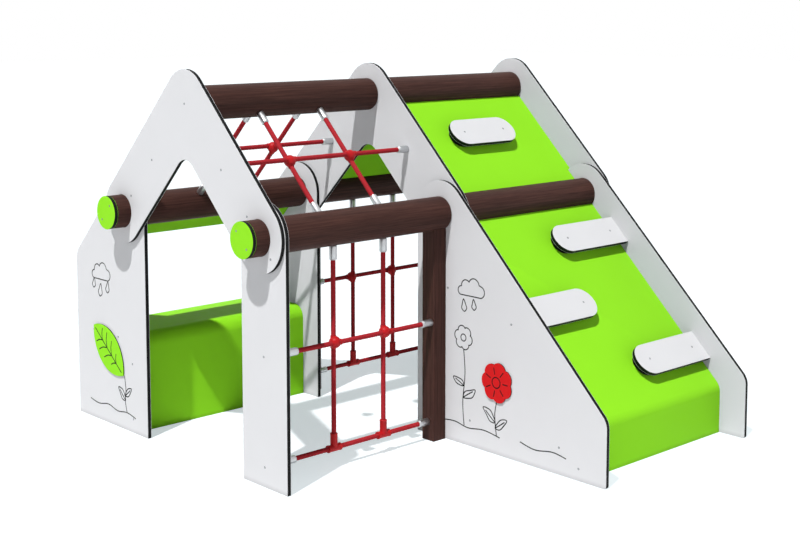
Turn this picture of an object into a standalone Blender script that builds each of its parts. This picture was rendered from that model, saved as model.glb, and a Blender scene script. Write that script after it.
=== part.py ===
# Two-bay garden playhouse: board gables on round timber logs, rope nets, bent sheets and a climbing ramp.
# The house is laid out from its front gable's face (x = 0), its centreline (y = 0) and the ground (z = 0).
# x runs to the rear; the near side, with the ramp, is -y and the far side, with the bench, is +y.
import math

import bmesh
import bpy
from mathutils import Vector

# Frame: logs and roof
log_radius = 0.070
log_end_round = 0.006
eave_height = 0.957            # axis of the eave logs above the ground
eave_offset = 0.474            # centreline to each eave log's axis
roof_pitch = math.radians(45)
stub_length = 0.062            # eave log beyond the outer gables
cap_thickness = 0.018
cap_edge = 0.002

# Boards and bays
board_thickness = 0.018
board_edge = 0.002             # rounded edge of boards and sheets
board_round = 0.136            # round heads and feet of boards, about the log axes
apex_fillet = 0.070            # inside corner of a gable
bay1_length = 0.906            # clear length between the boards of the front bay
bay2_length = 0.885
far_panel_reach = 0.895        # centreline to the outer edge of the bench panels
ramp_panel_reach = 1.366       # centreline to the outer edge of the ramp panels
panel_corner = 0.070           # fillet where a panel's slope meets its upright edge
panel_toe = 0.011              # small round at a ramp panel's foot

# Sheets
sheet_thickness = 0.018
ramp_foot_inset = 0.124        # ramp panel's edge to the upright part of the ramp
ramp_bend = 0.060              # outer radius of the ramp's bend
bench_height = 0.421
bench_front_inset = 0.104      # bench panel's inner edge to the bench's upright face
bench_rear_inset = 0.135       # bench panel's outer edge to the bench's rear edge
bench_bend = 0.060
awning_depth = 0.114           # down the slope from the eave log's surface

# Holds on the climbing slope
hold_thickness = 0.018
hold_width = 0.144
upper_hold_distance = 0.296    # ridge axis to the middle of the upper hold, down the slope
ramp_hold_distance = 0.924     # the same for the first hold on the ramp
ramp_hold_spacing = 0.318
upper_hold_setback = 0.262
upper_hold_length = 0.391
second_hold_length = 0.4385
third_hold_length = 0.4505
fourth_hold_length = 0.4375
spacer_thickness = 0.025
spacer_inset = 0.018           # spacer's long edges and round ends behind those of its hold

# Posts
post_width = 0.070
post_edge = 0.003

# Nets
rope_radius = 0.0084
ferrule_radius = 0.0137
ferrule_length = 0.052
ferrule_taper = 0.006
crossing_offset = 0.018        # axis of a crossing rope outside that of the ropes it crosses
ball_radius = 0.022
low_rope_height = 0.080
middle_rope_height = 0.506
roof_rope_distance = 0.335     # ridge axis to the crossing rope of a roof net, down the slope
net_pitch = 0.262
near_roof_pitch = 0.313
near_roof_shift = -0.002       # middle of that net, from the middle of its bay
far_wall_shift = -0.012
tee_radius = 0.0148
tee_length = 0.065
tee_taper = 0.012
tee_neck = 0.060               # upright sleeve of a tee above the low rope's axis

# Raised play plates
plate_thickness = 0.006
leaf_length = 0.300
leaf_width = 0.166
leaf_lean = math.radians(38)
leaf_inset = 0.262             # bench panel's outer edge to the leaf's middle
leaf_height = 0.330
flower_radius = 0.078
petal_depth = 0.011
petal_count = 7
flower_inset = 0.560           # ramp panel's outer edge to the flower's middle
flower_height = 0.300

# Fits
seat = 0.0003                  # between pieces that touch
bore_clearance = 0.0003        # around logs and ropes that pass through

# Facets
arc_step = math.radians(7.5)
log_sides = 32
rope_sides = 12
petal_steps = 10

# Places worked out from the sizes above
ridge_height = eave_height + eave_offset * math.tan(roof_pitch)
slope_length = eave_offset / math.cos(roof_pitch)
front_leg_x = board_thickness + seat
bay1_front = front_leg_x + board_thickness
middle_panel_x = bay1_front + bay1_length
middle_gable_x = middle_panel_x + board_thickness + seat
bay2_front = middle_gable_x + board_thickness
rear_leg_x = bay2_front + bay2_length
rear_gable_x = rear_leg_x + board_thickness + seat
rear_face = rear_gable_x + board_thickness
ramp_front = middle_panel_x + board_thickness
cap_reach = stub_length + seat + cap_thickness
near = -1
far = 1

looks = {
    "white_board": ((0.80, 0.82, 0.83), 0.42, 0.0),
    "green_board": ((0.26, 0.66, 0.03), 0.40, 0.0),
    "red_board": ((0.60, 0.03, 0.03), 0.40, 0.0),
    "black_board": ((0.02, 0.02, 0.022), 0.50, 0.0),
    "brown_timber": ((0.060, 0.036, 0.032), 0.55, 0.0),
    "red_rope": ((0.50, 0.02, 0.03), 0.85, 0.0),
    "red_plastic": ((0.55, 0.02, 0.03), 0.35, 0.0),
}


def clear_scene():
    for old in list(bpy.data.objects):
        bpy.data.objects.remove(old, do_unlink=True)


def material(look):
    made = bpy.data.materials.get(look)
    if made is None:
        colour, roughness, metallic = looks[look]
        made = bpy.data.materials.new(look)
        made.use_nodes = True
        shader = made.node_tree.nodes["Principled BSDF"]
        shader.inputs["Base Color"].default_value = (*colour, 1.0)
        shader.inputs["Roughness"].default_value = roughness
        shader.inputs["Metallic"].default_value = metallic
    return made


def piece(name, mesh_data, look, location=(0, 0, 0), rotation=(0, 0, 0)):
    # Makes an object from a bmesh, in the house's own layout
    bmesh.ops.recalc_face_normals(mesh_data, faces=mesh_data.faces)
    mesh = bpy.data.meshes.new(name)
    mesh_data.to_mesh(mesh)
    mesh_data.free()
    mesh.shade_smooth()
    mesh.set_sharp_from_angle(angle=math.radians(30))
    made = bpy.data.objects.new(name, mesh)
    made.location = location
    made.rotation_euler = rotation
    made.parent = house
    if look is None:
        made.hide_render = True
        made.display_type = "WIRE"
    else:
        mesh.materials.append(material(look))
    bpy.context.scene.collection.objects.link(made)
    return made


def boolean(target, tool, operation="DIFFERENCE"):
    change = target.modifiers.new(operation.lower(), "BOOLEAN")
    change.operation = operation
    change.solver = "EXACT"
    change.object = tool


def round_edges(target, width):
    bevel = target.modifiers.new("edges", "BEVEL")
    bevel.width = width
    bevel.segments = 1
    bevel.limit_method = "ANGLE"
    bevel.angle_limit = math.radians(40)


# Outlines

def arc(centre, radius, start, end):
    steps = max(2, math.ceil(abs(end - start) / arc_step - 1e-6))
    angles = [start + (end - start) * i / steps for i in range(steps + 1)]
    return [(centre[0] + radius * math.cos(a), centre[1] + radius * math.sin(a)) for a in angles]


def mirrored(outline, side):
    return [(side * y, z) for y, z in outline]


def on_slope(distance, height=0.0):
    # Point (y, z) of the far slope: distance down from the ridge axis, height out from the axes' plane
    y = distance * math.cos(roof_pitch) + height * math.sin(roof_pitch)
    z = ridge_height - distance * math.sin(roof_pitch) + height * math.cos(roof_pitch)
    return y, z


def gable_outline():
    right = math.pi / 2
    eave = (eave_offset, eave_height)
    ridge = (0.0, ridge_height)
    inner_apex = (0.0, ridge_height - (board_round + apex_fillet) / math.cos(roof_pitch))
    foot = arc(eave, board_round, -right - roof_pitch, right - roof_pitch)
    head = arc(ridge, board_round, right - roof_pitch, right + roof_pitch)
    inside = arc(inner_apex, apex_fillet, right + roof_pitch, right - roof_pitch)
    return foot + head + mirrored(reversed(foot), near) + inside


def leg_outline():
    head = arc((eave_offset, eave_height), board_round, 0.0, math.pi)
    return head + [(eave_offset - board_round, 0.0), (eave_offset + board_round, 0.0)]


def panel_outline(reach, corner, toe):
    # Upright inner edge, round head about the eave axis, then the roof's slope down to an upright edge
    right = math.pi / 2
    head = arc((eave_offset, eave_height), board_round, math.pi, right - roof_pitch)
    inset = (board_round - corner - math.sin(roof_pitch) * (reach - corner - eave_offset))
    shoulder = (reach - corner, eave_height + inset / math.cos(roof_pitch))
    outline = head + arc(shoulder, corner, right - roof_pitch, 0.0)
    if toe:
        outline += arc((reach - toe, toe), toe, 0.0, -right)
    else:
        outline.append((reach, 0.0))
    return outline + [(eave_offset - board_round, 0.0)]


def band_outline(path, thickness):
    # Closed outline of a bent sheet from its middle line, given as (point, unit normal) pairs
    half = thickness / 2
    upper = [(p[0] + half * n[0], p[1] + half * n[1]) for p, n in path]
    lower = [(p[0] - half * n[0], p[1] - half * n[1]) for p, n in path]
    return upper + lower[::-1]


def bar_outline(start, end, middle, width, start_corner, end_corner):
    # Bar along the first axis, with round corners at either end
    half = width / 2
    right = math.pi / 2
    outline = []
    for x, inward, radius, angle in ((end, -1, end_corner, -right), (start, 1, start_corner, right)):
        for side in (inward, -inward):
            centre = (x + inward * radius, middle + side * (half - radius))
            if radius:
                outline += arc(centre, radius, angle, angle + right)
            else:
                outline.append(centre)
            angle += right
    return outline


# Solids

def extrude_outline(outline, axis, depth, start=0.0):
    # Prism of an outline given in the two axes after the named one
    shape = bmesh.new()
    order = {"x": lambda a, b: (start, a, b), "z": lambda a, b: (a, b, start)}[axis]
    travel = {"x": (depth, 0, 0), "z": (0, 0, depth)}[axis]
    face = shape.faces.new([shape.verts.new(order(a, b)) for a, b in outline])
    grown = bmesh.ops.extrude_face_region(shape, geom=[face])
    moved = [v for v in grown["geom"] if isinstance(v, bmesh.types.BMVert)]
    bmesh.ops.translate(shape, verts=moved, vec=travel)
    return shape


def turned(profile, sides):
    # Solid of revolution about local z from (height, radius) pairs
    shape = bmesh.new()
    points = [(profile[0][0], 0.0)] + list(profile) + [(profile[-1][0], 0.0)]
    verts = [shape.verts.new((radius, 0.0, height)) for height, radius in points]
    edges = [shape.edges.new(pair) for pair in zip(verts, verts[1:])]
    bmesh.ops.spin(shape, geom=verts + edges, cent=(0, 0, 0), axis=(0, 0, 1), angle=math.tau, steps=sides)
    bmesh.ops.remove_doubles(shape, verts=shape.verts, dist=1e-6)
    return shape


def board(name, outline, x):
    return piece(name, extrude_outline(outline, "x", board_thickness), "white_board", location=(x, 0, 0))


def sheet(name, outline, start, end):
    made = piece(name, extrude_outline(outline, "x", end - start), "green_board", location=(start, 0, 0))
    round_edges(made, board_edge)
    return made


def slope_plate(name, outline, side, height, thickness, look):
    # Flat plate from an outline of (x, distance down the slope), its underside at the given height
    flat = [(x, side * distance) for x, distance in outline]
    shape = extrude_outline(flat, "z", thickness, start=height)
    return piece(name, shape, look, location=(0, 0, ridge_height), rotation=(-side * roof_pitch, 0, 0))


def turned_between(name, start, end, profile, look, sides):
    # Turned piece standing on start and pointing at end
    direction = Vector(end) - Vector(start)
    made = piece(name, turned(profile, sides), look, location=start)
    made.rotation_euler = direction.to_track_quat("Z", "Y").to_euler()
    return made


def distance_between(start, end):
    return (Vector(end) - Vector(start)).length


# Frame boards and logs

def log_space(name, side):
    # Room for an eave log with its running clearance, used as a cutter
    start = (-cap_reach, side * eave_offset, eave_height)
    end = (rear_face + cap_reach, side * eave_offset, eave_height)
    radius = log_radius + bore_clearance
    return turned_between(name, start, end, [(0, radius), (distance_between(start, end), radius)], None, log_sides)


def build_boards(spaces):
    gable = gable_outline()
    leg = leg_outline()
    bench_panel = panel_outline(far_panel_reach, panel_corner, 0.0)
    ramp_panel = panel_outline(ramp_panel_reach, panel_corner, panel_toe)
    drilled = {
        "front_gable": (gable, 0.0, (near, far)),
        "front_near_leg": (mirrored(leg, near), front_leg_x, (near,)),
        "front_far_panel": (bench_panel, front_leg_x, (far,)),
        "middle_ramp_panel": (mirrored(ramp_panel, near), middle_panel_x, ()),
        "middle_far_panel": (bench_panel, middle_panel_x, ()),
        "middle_gable": (gable, middle_gable_x, ()),
        "rear_ramp_panel": (mirrored(ramp_panel, near), rear_leg_x, (near,)),
        "rear_far_leg": (leg, rear_leg_x, (far,)),
        "rear_gable": (gable, rear_gable_x, (near, far)),
    }
    for name, (outline, x, sides) in drilled.items():
        made = board(name, outline, x)
        for side in sides:
            boolean(made, spaces[side])
        round_edges(made, board_edge)


def log(name, y, z, start, end):
    length = end - start
    made = turned_between(name, (start, y, z), (end, y, z), [(0, log_radius), (length, log_radius)],
                          "brown_timber", log_sides)
    round_edges(made, log_end_round)


def build_logs():
    log("front_ridge_log", 0.0, ridge_height, board_thickness + seat, middle_gable_x - seat)
    log("rear_ridge_log", 0.0, ridge_height, bay2_front + seat, rear_gable_x - seat)
    for label, side in (("near", near), ("far", far)):
        y = side * eave_offset
        log(f"front_{label}_eave_log", y, eave_height, -stub_length, middle_panel_x - seat)
        log(f"rear_{label}_eave_log", y, eave_height, bay2_front + seat, rear_face + stub_length)


def build_caps():
    for label, side in (("near", near), ("far", far)):
        for end, x in (("front", -cap_reach), ("rear", rear_face + stub_length + seat)):
            start = (x, side * eave_offset, eave_height)
            stop = (x + cap_thickness, side * eave_offset, eave_height)
            cap = turned_between(f"{end}_{label}_log_cap", start, stop,
                                 [(0, log_radius), (cap_thickness, log_radius)], "green_board", log_sides)
            round_edges(cap, cap_edge)


def build_posts(spaces):
    outline = bar_outline(-post_width / 2, post_width / 2, 0.0, post_width, post_edge, post_edge)
    front, rear = seat, seat + post_width
    places = {
        "front_near_post": (bay1_front + front, near),
        "middle_near_post": (middle_panel_x - rear, near),
        "middle_far_post": (bay2_front + front, far),
        "rear_far_post": (rear_leg_x - rear, far),
    }
    for name, (x, side) in places.items():
        shape = extrude_outline(outline, "z", eave_height)
        post = piece(name, shape, "brown_timber", location=(x + post_width / 2, side * eave_offset, 0))
        boolean(post, spaces[side])


# Sheets on the slopes

def build_sheets():
    half = sheet_thickness / 2
    top = log_radius + seat
    bottom = slope_length - log_radius - seat
    notch = slope_length - board_round - seat
    start, end = bay2_front + seat, rear_gable_x - seat
    notched = [(start, top), (end, top), (end, notch), (rear_leg_x - seat, notch),
               (rear_leg_x - seat, bottom), (start, bottom)]
    for name, side in (("climbing_sheet", near), ("far_roof_sheet", far)):
        made = slope_plate(name, notched, side, -half, sheet_thickness, "green_board")
        round_edges(made, board_edge)

    awning = [(bay1_front + seat, slope_length + top), (middle_panel_x - seat, slope_length + top),
              (middle_panel_x - seat, slope_length + top + awning_depth),
              (bay1_front + seat, slope_length + top + awning_depth)]
    made = slope_plate("awning_sheet", awning, far, -half, sheet_thickness, "green_board")
    round_edges(made, board_edge)

    ramp = sheet("ramp_sheet", ramp_outline(), ramp_front + seat, rear_leg_x - seat)
    foot = [(ramp_front, slope_length), (bay2_front + seat, slope_length),
            (bay2_front + seat, slope_length + board_round + seat),
            (ramp_front, slope_length + board_round + seat)]
    room = slope_plate("gable_foot_room", foot, near, -board_round, 2 * board_round, None)
    boolean(ramp, room)

    sheet("bench_sheet", bench_outline(), bay1_front + seat, middle_panel_x - seat)


def ramp_outline():
    # Down the slope from the eave log, round the bend and straight to the ground
    across = (math.sin(roof_pitch), math.cos(roof_pitch))
    bend = ramp_bend - sheet_thickness / 2
    upright = ramp_panel_reach - ramp_foot_inset - sheet_thickness / 2
    centre_y = upright - bend
    centre_z = ridge_height - centre_y * math.tan(roof_pitch) - bend / math.cos(roof_pitch)
    path = [(on_slope(slope_length + log_radius + seat), across)]
    for point in arc((centre_y, centre_z), bend, math.pi / 2 - roof_pitch, 0.0):
        normal = ((point[0] - centre_y) / bend, (point[1] - centre_z) / bend)
        path.append((point, normal))
    path.append(((upright, 0.0), (1.0, 0.0)))
    return mirrored(band_outline(path, sheet_thickness), near)


def bench_outline():
    # Up from the ground, round the front edge and back over the seat
    half = sheet_thickness / 2
    bend = bench_bend - half
    upright = eave_offset - board_round + bench_front_inset + half
    centre = (upright + bend, bench_height - half - bend)
    path = [((upright, 0.0), (-1.0, 0.0))]
    for point in arc(centre, bend, math.pi, math.pi / 2):
        normal = ((point[0] - centre[0]) / bend, (point[1] - centre[1]) / bend)
        path.append((point, normal))
    path.append(((far_panel_reach - bench_rear_inset, bench_height - half), (0.0, 1.0)))
    return band_outline(path, sheet_thickness)


def build_holds():
    # Each hold is a bar on a narrower spacer; an end with no corner radius butts against a board
    round_end = hold_width / 2
    ramp_end = rear_leg_x - seat
    ramp_start = ramp_front + seat
    upper = bay2_front + upper_hold_setback
    second, third, fourth = (ramp_hold_distance + row * ramp_hold_spacing for row in range(3))
    holds = {
        "upper": (upper_hold_distance, upper, upper + upper_hold_length, round_end, round_end),
        "second": (second, ramp_end - second_hold_length, ramp_end, round_end, 0.0),
        "third": (third, ramp_start, ramp_start + third_hold_length, 0.0, round_end),
        "fourth": (fourth, ramp_end - fourth_hold_length, ramp_end, round_end, 0.0),
    }
    spacer_height = sheet_thickness / 2 + seat
    hold_height = spacer_height + spacer_thickness + seat
    for name, (middle, start, end, start_corner, end_corner) in holds.items():
        plate = bar_outline(start, end, middle, hold_width, start_corner, end_corner)
        made = slope_plate(f"{name}_hold", plate, near, hold_height, hold_thickness, "white_board")
        round_edges(made, board_edge)
        width = hold_width - 2 * spacer_inset
        inner_start = start + (spacer_inset if start_corner else 0.0)
        inner_end = end - (spacer_inset if end_corner else 0.0)
        block = bar_outline(inner_start, inner_end, middle, width,
                            max(start_corner - spacer_inset, 0.0), max(end_corner - spacer_inset, 0.0))
        slope_plate(f"{name}_hold_spacer", block, near, spacer_height, spacer_thickness, "black_board")


# Rope nets

def rope_profile(length, last=ferrule_length):
    # Ferrule, bare rope, then the last fitting: a ferrule with a taper, or the neck of a tee
    return [(0, ferrule_radius), (ferrule_length - ferrule_taper, ferrule_radius),
            (ferrule_length, rope_radius), (length - last, rope_radius),
            (length - last + ferrule_taper, ferrule_radius), (length, ferrule_radius)]


def rope_space(name, start, end):
    radius = rope_radius + bore_clearance
    return turned_between(name, start, end, [(0, radius), (distance_between(start, end), radius)], None, rope_sides)


def rope(name, start, end):
    turned_between(name, start, end, rope_profile(distance_between(start, end)), "red_rope", rope_sides)
    return rope_space(f"{name}_space", start, end)


def tee_rope(name, top, foot, low_space):
    # Upright rope whose tee sleeve holds the low rope in its cross bore
    profile = rope_profile(distance_between(top, foot), tee_neck)
    upright = turned_between(name, top, foot, profile, "red_rope", rope_sides)
    half = tee_length / 2
    sleeve_profile = [(0, ferrule_radius - ferrule_taper / 2), (tee_taper, tee_radius),
                      (tee_length - tee_taper, tee_radius), (tee_length, ferrule_radius - ferrule_taper / 2)]
    sleeve = turned_between(f"{name}_sleeve", (foot[0] - half, foot[1], foot[2]),
                            (foot[0] + half, foot[1], foot[2]), sleeve_profile, None, rope_sides)
    boolean(upright, sleeve, "UNION")
    boolean(upright, low_space)
    return rope_space(f"{name}_space", top, foot)


def ball(name, centre, spaces):
    shape = bmesh.new()
    bmesh.ops.create_uvsphere(shape, u_segments=14, v_segments=8, radius=ball_radius)
    made = piece(name, shape, "red_plastic", location=centre)
    for space in spaces:
        boolean(made, space)


def wall_net(label, side, start, end, middle):
    # Two upright ropes under an eave log, a low rope through their tees and a crossing rope outside them
    y = side * eave_offset
    outer = side * (eave_offset + crossing_offset)
    low = rope_space(f"{label}_low_space", (start, y, low_rope_height), (end, y, low_rope_height))
    rope(f"{label}_wall_low_rope", (start + seat, y, low_rope_height), (end - seat, y, low_rope_height))
    cross_ends = ((start + seat, outer, middle_rope_height), (end - seat, outer, middle_rope_height))
    cross = rope(f"{label}_wall_cross_rope", *cross_ends)
    for number, shift in ((1, -net_pitch / 2), (2, net_pitch / 2)):
        x = middle + shift
        top = (x, y, eave_height - log_radius - seat)
        upright = tee_rope(f"{label}_wall_rope_{number}", top, (x, y, low_rope_height), low)
        ball(f"{label}_wall_ball_{number}", (x, (y + outer) / 2, middle_rope_height), (upright, cross))


def roof_net(label, side, pitch, middle):
    # Two sloping ropes from ridge log to eave log, and a crossing rope outside them between the gables
    def place(x, distance, height=0.0):
        y, z = on_slope(distance, height)
        return x, side * y, z

    cross_ends = (place(board_thickness + seat, roof_rope_distance, crossing_offset),
                  place(middle_gable_x - seat, roof_rope_distance, crossing_offset))
    cross = rope(f"{label}_roof_cross_rope", *cross_ends)
    for number, shift in ((1, -pitch / 2), (2, pitch / 2)):
        x = middle + shift
        top = place(x, log_radius + seat)
        foot = place(x, slope_length - log_radius - seat)
        sloping = rope(f"{label}_roof_rope_{number}", top, foot)
        ball(f"{label}_roof_ball_{number}", place(x, roof_rope_distance, crossing_offset / 2), (sloping, cross))


def build_nets():
    bay1_middle = bay1_front + bay1_length / 2
    bay2_middle = bay2_front + bay2_length / 2
    post_room = seat + post_width
    wall_net("near", near, bay1_front + post_room, middle_panel_x - post_room, bay1_middle)
    wall_net("far", far, bay2_front + post_room, rear_leg_x - post_room, bay2_middle + far_wall_shift)
    roof_net("near", near, near_roof_pitch, bay1_middle + near_roof_shift)
    roof_net("far", far, net_pitch, bay1_middle)


# Raised plates on the boards' front faces

def leaf_outline():
    # Two equal arcs that meet in the leaf's tips, leaning to one side
    half = leaf_length / 2
    bulge = leaf_width / 2
    radius = (half * half + bulge * bulge) / (2 * bulge)
    spread = math.asin(half / radius)
    drop = radius - bulge
    upper = arc((0, -drop), radius, math.pi / 2 - spread, math.pi / 2 + spread)
    lower = arc((0, drop), radius, -math.pi / 2 - spread, -math.pi / 2 + spread)
    outline = upper + lower[1:-1]
    cos, sin = math.cos(leaf_lean), math.sin(leaf_lean)
    centre = (far_panel_reach - leaf_inset, leaf_height)
    return [(centre[0] + a * cos - b * sin, centre[1] + a * sin + b * cos) for a, b in outline]


def flower_outline():
    # Round petals: a radius that swells and falls once for each petal
    centre = (-(ramp_panel_reach - flower_inset), flower_height)
    outline = []
    for i in range(petal_count * petal_steps):
        angle = math.tau * i / (petal_count * petal_steps)
        radius = flower_radius + petal_depth * (abs(math.cos(petal_count * angle / 2)) ** 0.7 - 0.5)
        outline.append((centre[0] + radius * math.cos(angle), centre[1] + radius * math.sin(angle)))
    return outline


def build_plates():
    plates = {
        "leaf_plate": (leaf_outline(), front_leg_x, "green_board"),
        "flower_plate": (flower_outline(), middle_panel_x, "red_board"),
    }
    for name, (outline, face_x, look) in plates.items():
        shape = extrude_outline(outline, "x", plate_thickness)
        piece(name, shape, look, location=(face_x - seat - plate_thickness, 0, 0))


clear_scene()
house = bpy.data.objects.new("house", None)
bpy.context.scene.collection.objects.link(house)
house.location = (-rear_face / 2, (ramp_panel_reach - far_panel_reach) / 2, 0)
log_spaces = {near: log_space("near_log_space", near), far: log_space("far_log_space", far)}
build_boards(log_spaces)
build_logs()
build_caps()
build_posts(log_spaces)
build_sheets()
build_holds()
build_nets()
build_plates()
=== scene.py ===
import math

import bmesh
import bpy
from mathutils import Matrix, Vector, noise
from mathutils.geometry import tessellate_polygon


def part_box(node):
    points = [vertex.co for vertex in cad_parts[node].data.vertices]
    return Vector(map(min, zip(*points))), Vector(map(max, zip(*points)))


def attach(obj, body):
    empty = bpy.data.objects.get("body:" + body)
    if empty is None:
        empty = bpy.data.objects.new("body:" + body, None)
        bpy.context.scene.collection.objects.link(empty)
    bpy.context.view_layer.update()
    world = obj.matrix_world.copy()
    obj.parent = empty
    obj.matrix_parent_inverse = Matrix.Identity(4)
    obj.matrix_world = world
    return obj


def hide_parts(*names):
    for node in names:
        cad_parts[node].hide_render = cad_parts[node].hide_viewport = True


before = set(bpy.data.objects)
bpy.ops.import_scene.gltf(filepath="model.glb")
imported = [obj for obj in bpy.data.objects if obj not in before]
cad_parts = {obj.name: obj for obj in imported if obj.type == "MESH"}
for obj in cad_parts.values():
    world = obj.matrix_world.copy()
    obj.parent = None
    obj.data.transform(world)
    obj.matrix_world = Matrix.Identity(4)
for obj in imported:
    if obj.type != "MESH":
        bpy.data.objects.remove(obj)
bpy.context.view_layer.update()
print("frame loaded:", len(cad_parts), "nodes")


# Places read from the frame; the layout starts at the house's front face, centreline and ground

def middle(node):
    low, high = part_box(node)
    return (low + high) / 2


def extent(node):
    low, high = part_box(node)
    return high - low


nearLog = middle("front_near_eave_log")
farLog = middle("front_far_eave_log")
ridgeLog = middle("front_ridge_log")
house = {
    "frontX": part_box("front_gable")[0].x,
    "centreY": ridgeLog.y,
    "eaveOffset": (farLog.y - nearLog.y) / 2,
    "eaveZ": nearLog.z,
    "ridgeZ": ridgeLog.z,
    "logRadius": extent("front_ridge_log").z / 2,
    "board": extent("front_gable").x,
    "boardRound": extent("front_near_leg").y / 2,
    "gap": 0.0003,  # between pieces that touch
}
rightAngle = math.pi / 2
pitch = math.atan2(house["ridgeZ"] - house["eaveZ"], house["eaveOffset"])
slopeLength = math.hypot(house["ridgeZ"] - house["eaveZ"], house["eaveOffset"])
logClear = house["logRadius"] + house["gap"]  # from a log's axis to what touches it
near, far = -1, 1
xAxis, zAxis = Vector((1, 0, 0)), Vector((0, 0, 1))


def at(x, y, z):  # millimetres in the house's own layout
    return Vector((house["frontX"] + x / 1000, house["centreY"] + y / 1000, z / 1000))


def slopeMatrix(side):  # x along the house, y along the slope, z outwards
    turn = Matrix.Rotation(-side * pitch, 4, "X")
    return Matrix.Translation((0, house["centreY"], house["ridgeZ"])) @ turn


def onSlope(side, x, distance, height=0.0):  # distance down the slope from the ridge log's axis
    return slopeMatrix(side) @ Vector((x, side * distance, height))


# Colours and nodes

def linear(code):  # sRGB hex to linear red, green, blue, alpha
    channels = [int(code[i:i + 2], 16) / 255 for i in (1, 3, 5)]
    return [c / 12.92 if c <= 0.04045 else ((c + 0.055) / 1.055) ** 2.4 for c in channels] + [1.0]


def dimmed(colour, share):
    return [c * share for c in colour[:3]] + [1.0]


def addNode(tree, kind, settings=None, links=None):
    # One node with its settings and links; a colour may be hex, a node stands for its output in use
    made = tree.nodes.new("ShaderNode" + kind)
    for key, value in (settings or {}).items():
        if key == "stops":
            elements = made.color_ramp.elements
            while len(elements) < len(value):
                elements.new(1.0)
            for element, (position, colour) in zip(elements, value):
                element.position = position
                element.color = linear(colour) if isinstance(colour, str) else colour
        elif isinstance(key, int) or key in made.inputs:
            made.inputs[key].default_value = linear(value) if isinstance(value, str) else value
        else:
            setattr(made, key, value)
    for key, source in (links or {}).items():
        if isinstance(source, bpy.types.Node):
            source = next(output for output in source.outputs if output.enabled)
        tree.links.new(source, made.inputs[key])
    return made


def newMaterial(name):  # and the piece's own coordinates, for the patterns
    made = bpy.data.materials.new(name)
    made.use_nodes = True
    made.node_tree.nodes.clear()
    return made, made.node_tree, addNode(made.node_tree, "TexCoord").outputs["Object"]


def finishMaterial(tree, look, settings, colour=None, grain=None, relief=None):
    # The grain spreads the roughness between two values; the relief is the surface's fine height
    links = {"Base Color": colour} if colour is not None else {}
    if grain is not None:
        low, high = look["roughness"]
        start, stop = look.get("spread", (0.0, 1.0))
        spread = {"From Min": start, "From Max": stop, "To Min": low, "To Max": high}
        links["Roughness"] = addNode(tree, "MapRange", spread, {"Value": grain})
    if relief is not None:
        bump = {"Strength": look["relief"], "Distance": look["height"]}
        links["Normal"] = addNode(tree, "Bump", bump, {"Height": relief})
    shader = addNode(tree, "BsdfPrincipled", settings, links)
    addNode(tree, "OutputMaterial", {}, {"Surface": shader})


def thrownColour(tree, colour, thrown):  # another colour for the light thrown on its neighbours
    bounced = addNode(tree, "LightPath").outputs["Is Diffuse Ray"]
    return addNode(tree, "Mix", {"data_type": "RGBA", 7: thrown}, {0: bounced, 6: colour})


def perMetre(millimetres):  # noise scale for features of that size
    return 1000.0 / millimetres


# Embossed polyethylene sheet: the mould roll leaves a fine orange peel that softens the gloss
sheetLook = {
    "white": {"colour": "#EDEDEF", "gloss": 0.2, "thrown": "#A8A9AA"},
    "green": {"colour": "#9EF52C", "gloss": 0.04, "thrown": "#598B61"},
    "red": {"colour": "#E2161A", "gloss": 0.2},
    "cloudShade": 0.985,  # darkest cloud in the colour, as a share
    "cloud": 260.0, "peel": 2.6, "scuff": 34.0,  # millimetres
    "height": 0.00012, "relief": 0.35, "roughness": (0.44, 0.58), "spread": (0.3, 0.7),
    "paintedFootShade": 0.80, "footHeight": 0.022,  # painted shade: the foot of a board is a little darker where it meets the floor
}


def sheetSkin(shade, standing=False):
    look = sheetLook[shade]
    ending = ", standing" if standing else ""
    made, tree, where = newMaterial(shade + " embossed polyethylene" + ending)
    cloud = addNode(tree, "TexNoise", {"Scale": perMetre(sheetLook["cloud"]), "Detail": 3.0},
                    {"Vector": where})
    full = linear(look["colour"])
    stops = [(0.35, dimmed(full, sheetLook["cloudShade"])), (0.65, full)]
    colour = addNode(tree, "ValToRGB", {"stops": stops}, {"Fac": cloud})
    if standing:  # these boards have their height along local y; painted shade darkens their foot towards the floor
        height = addNode(tree, "SeparateXYZ", {}, {0: where}).outputs["Y"]
        foot = addNode(tree, "MapRange", {"interpolation_type": "SMOOTHSTEP",
                                          "From Max": sheetLook["footHeight"],
                                          "To Min": sheetLook["paintedFootShade"]}, {"Value": height})
        colour = addNode(tree, "Mix", {"data_type": "RGBA", "blend_type": "MULTIPLY", 0: 1.0},
                         {6: colour, 7: foot})
    if "thrown" in look:
        colour = thrownColour(tree, colour, look["thrown"])
    scuff = addNode(tree, "TexNoise", {"Scale": perMetre(sheetLook["scuff"]), "Detail": 6.0,
                                       "Roughness": 0.7}, {"Vector": where})
    peel = addNode(tree, "TexNoise", {"Scale": perMetre(sheetLook["peel"]), "Detail": 2.0},
                   {"Vector": where})
    finishMaterial(tree, sheetLook, {"IOR": 1.5, "Specular IOR Level": look["gloss"]},
                   colour, scuff, peel)
    return made


# Milled polyethylene core: the cutter leaves fine parallel marks round the edge of each board
coreLook = {"colours": [(0.3, "#050607"), (0.75, "#0D0E10")], "mark": 1.1, "height": 0.00008,
            "relief": 0.5}


def milledCore():
    made, tree, where = newMaterial("milled black polyethylene core")
    marks = addNode(tree, "TexNoise", {"Scale": perMetre(coreLook["mark"]), "Detail": 3.0},
                    {"Vector": where})
    colour = addNode(tree, "ValToRGB", {"stops": coreLook["colours"]}, {"Fac": marks})
    finishMaterial(tree, coreLook, {"Roughness": 0.6, "IOR": 1.5, "Specular IOR Level": 0.15},
                   colour, relief=marks)
    return made


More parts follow.
